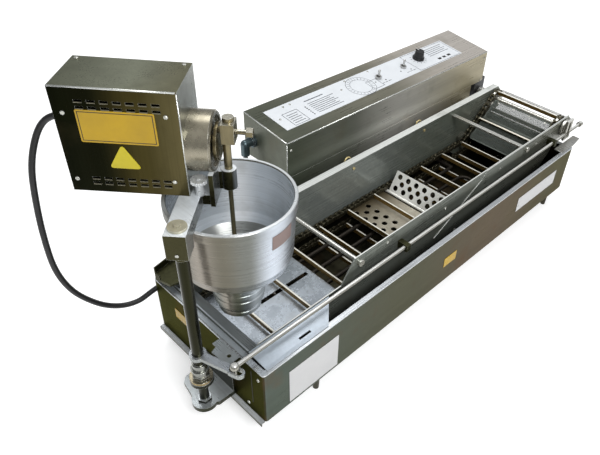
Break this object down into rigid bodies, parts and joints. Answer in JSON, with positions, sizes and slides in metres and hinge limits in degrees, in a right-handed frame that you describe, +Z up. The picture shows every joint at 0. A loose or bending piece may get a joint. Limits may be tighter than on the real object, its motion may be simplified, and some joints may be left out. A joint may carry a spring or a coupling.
{
  "type": "automatic donut fryer",
  "caption": "Tabletop automatic donut fryer: long oil kettle with a chain conveyor and turner, rear control box and a swinging plunger depositor over a batter hopper.",
  "frame": {"origin": "bottom centre of the machine's box without the cable, on the plane of its feet", "axes": "+X along the kettle from the depositor to the exit, +Y from the front to the control box, +Z up"},
  "size_m": [1.0889, 0.38, 0.507],
  "materials": {
    "kettle_steel": "brushed stainless sheet, warm grey, wiped and lightly stained",
    "rim_steel": "bright folded stainless edge",
    "foot_steel": "dark turned pegs",
    "heater_sheath": "heat-darkened sheath",
    "case_steel": null,
    "overlay_white": "white control overlay",
    "knob_black": "black knob",
    "switch_chrome": "plated switch lever",
    "inner_dark": "dark moulded housings inside the box",
    "motor_dark": "dark painted gear motor",
    "shaft_steel": "ground steel",
    "chain_steel": "oiled roller chain",
    "flight_steel": "flight bars with an oil-brown tint",
    "frame_steel": "stainless sheet with an oil film",
    "mesh_steel": "woven wire panels",
    "lip_steel": "bright stainless",
    "turner_steel": "pale perforated plates",
    "guide_white": "pale chain guides",
    "pin_chrome": "plated pins and rings",
    "bracket_steel": "bright bracket plates",
    "rod_steel": "bright drawn rod",
    "column_dark": "dark column",
    "cast_alu": "machined aluminium arm",
    "cap_brass": "dull brass cap",
    "drum_alu": "satin turned aluminium",
    "crank_steel": "dark plated crank and links",
    "hopper_alu": "spun and turned aluminium",
    "tray_dark": "dark drip tray",
    "gland_black": "black cable glands",
    "cord_black": "black flexible cable"
  },
  "bodies": {
    "fryer": {"kettle": "kettle_steel", "rim": "rim_steel", "feet": "foot_steel", "heater": "heater_sheath", "thermo_bulb": "shaft_steel", "hanger": "case_steel", "ctl_shell": "case_steel", "ctl_panel": "case_steel", "overlay": "overlay_white", "thermostat": "inner_dark", "switch_bodies": "inner_dark", "control_gear": "inner_dark", "drive_motor": "motor_dark", "chain_front": "chain_steel", "chain_rear": "chain_steel", "flights": "flight_steel", "side_front": "frame_steel", "side_rear": "frame_steel", "tie_rods": "shaft_steel", "chain_guides": "guide_white", "drop_plate": "frame_steel", "end_plate": "frame_steel", "feed_guard": "frame_steel", "ramp_bars": "frame_steel", "mesh_panels": "mesh_steel", "exit_lip": "lip_steel", "turner_bed": "turner_steel", "tongue": "bracket_steel", "post": "shaft_steel", "rod_guides": "column_dark", "drip_tray": "tray_dark", "cord_elbow": "gland_black", "cord": "cord_black"},
    "conveyor_drive": {"drive_shaft": "shaft_steel", "coupling": "shaft_steel", "rod_crank": "shaft_steel"},
    "conveyor_tail": {"tail_shaft": "shaft_steel"},
    "turner_flap": {"turner": "turner_steel"},
    "depositor": {"column": "column_dark", "lever": "bracket_steel", "arm": "cast_alu", "column_cap": "cap_brass", "clamp_knob": "cast_alu", "head_case": "case_steel", "head_front": "case_steel", "head_motor": "motor_dark", "gear_drum": "drum_alu", "hopper_bowl": "hopper_alu", "outlet": "hopper_alu", "cord_gland": "gland_black"},
    "plunger_crank": {"crank": "crank_steel"},
    "plunger_set": {"plunger": "crank_steel", "piston": "hopper_alu"},
    "swing_rod": {"connecting_rod": "rod_steel"},
    "thermostat_knob": {"knob": "knob_black"},
    "switch_left": {"toggle_1": "switch_chrome"},
    "switch_right": {"toggle_2": "switch_chrome"},
    "lock_left": {"pull_pin_1": "pin_chrome"},
    "lock_right": {"pull_pin_2": "pin_chrome"}
  },
  "joints": [
    {"name": "conveyor_spin", "type": "hinge", "parent": "fryer", "child": "conveyor_drive", "pos_m": [0.45906, -0.052, 0.1655], "axis": [0, 1, 0], "continuous": true, "deforming": ["chain_front", "chain_rear", "flights"]},
    {"name": "tail_spin", "type": "hinge", "parent": "fryer", "child": "conveyor_tail", "pos_m": [-0.40363, -0.052, 0.07791], "axis": [0, 1, 0], "continuous": true, "deforming": ["chain_front", "chain_rear", "flights"]},
    {"name": "turner_swing", "type": "hinge", "parent": "fryer", "child": "turner_flap", "pos_m": [0.07206, -0.052, 0.0855], "axis": [0, -1, 0], "range_deg": [0, 120], "deforming": ["flights"]},
    {"name": "depositor_swing", "type": "hinge", "parent": "fryer", "child": "depositor", "pos_m": [-0.47894, -0.102, 0.14], "axis": [0, 0, 1], "range_deg": [-12, 12], "deforming": ["cord"]},
    {"name": "rod_travel", "type": "slide", "parent": "fryer", "child": "swing_rod", "axis": [1, 0, 0], "range_m": [-0.01352, 0.01352]},
    {"name": "crank_turn", "type": "hinge", "parent": "depositor", "child": "plunger_crank", "pos_m": [-0.387, -0.05891, 0.428], "axis": [0.673, -0.7396, 0], "range_deg": [-1.5, 181.5]},
    {"name": "plunger_travel", "type": "slide", "parent": "depositor", "child": "plunger_set", "axis": [0, 0, 1], "range_m": [-0.032, 0]},
    {"name": "thermostat_turn", "type": "hinge", "parent": "fryer", "child": "thermostat_knob", "pos_m": [0.27906, 0.14012, 0.27598], "axis": [0, -0.1198, 0.9928], "range_deg": [-135, 135]},
    {"name": "switch_left_tilt", "type": "hinge", "parent": "fryer", "child": "switch_left", "pos_m": [0.14006, 0.1326, 0.27981], "axis": [1, 0, 0], "range_deg": [-14, 14]},
    {"name": "switch_right_tilt", "type": "hinge", "parent": "fryer", "child": "switch_right", "pos_m": [0.21906, 0.1326, 0.27981], "axis": [1, 0, 0], "range_deg": [-14, 14]},
    {"name": "lock_left_pull", "type": "slide", "parent": "fryer", "child": "lock_left", "axis": [0, 1, 0], "range_m": [0, 0.008], "stiffness_N_per_m": 300, "springref_m": -0.004},
    {"name": "lock_right_pull", "type": "slide", "parent": "fryer", "child": "lock_right", "axis": [0, 1, 0], "range_m": [0, 0.008], "stiffness_N_per_m": 300, "springref_m": -0.004}
  ],
  "couplings": [
    {"joint": "tail_spin", "follows": "conveyor_spin", "ratio": 1.125},
    {"joint": "rod_travel", "follows": "depositor_swing", "m_per_rad": 0.0645},
    {"joint": "crank_turn", "follows": "plunger_travel", "rad_per_m": -98.175}
  ]
}
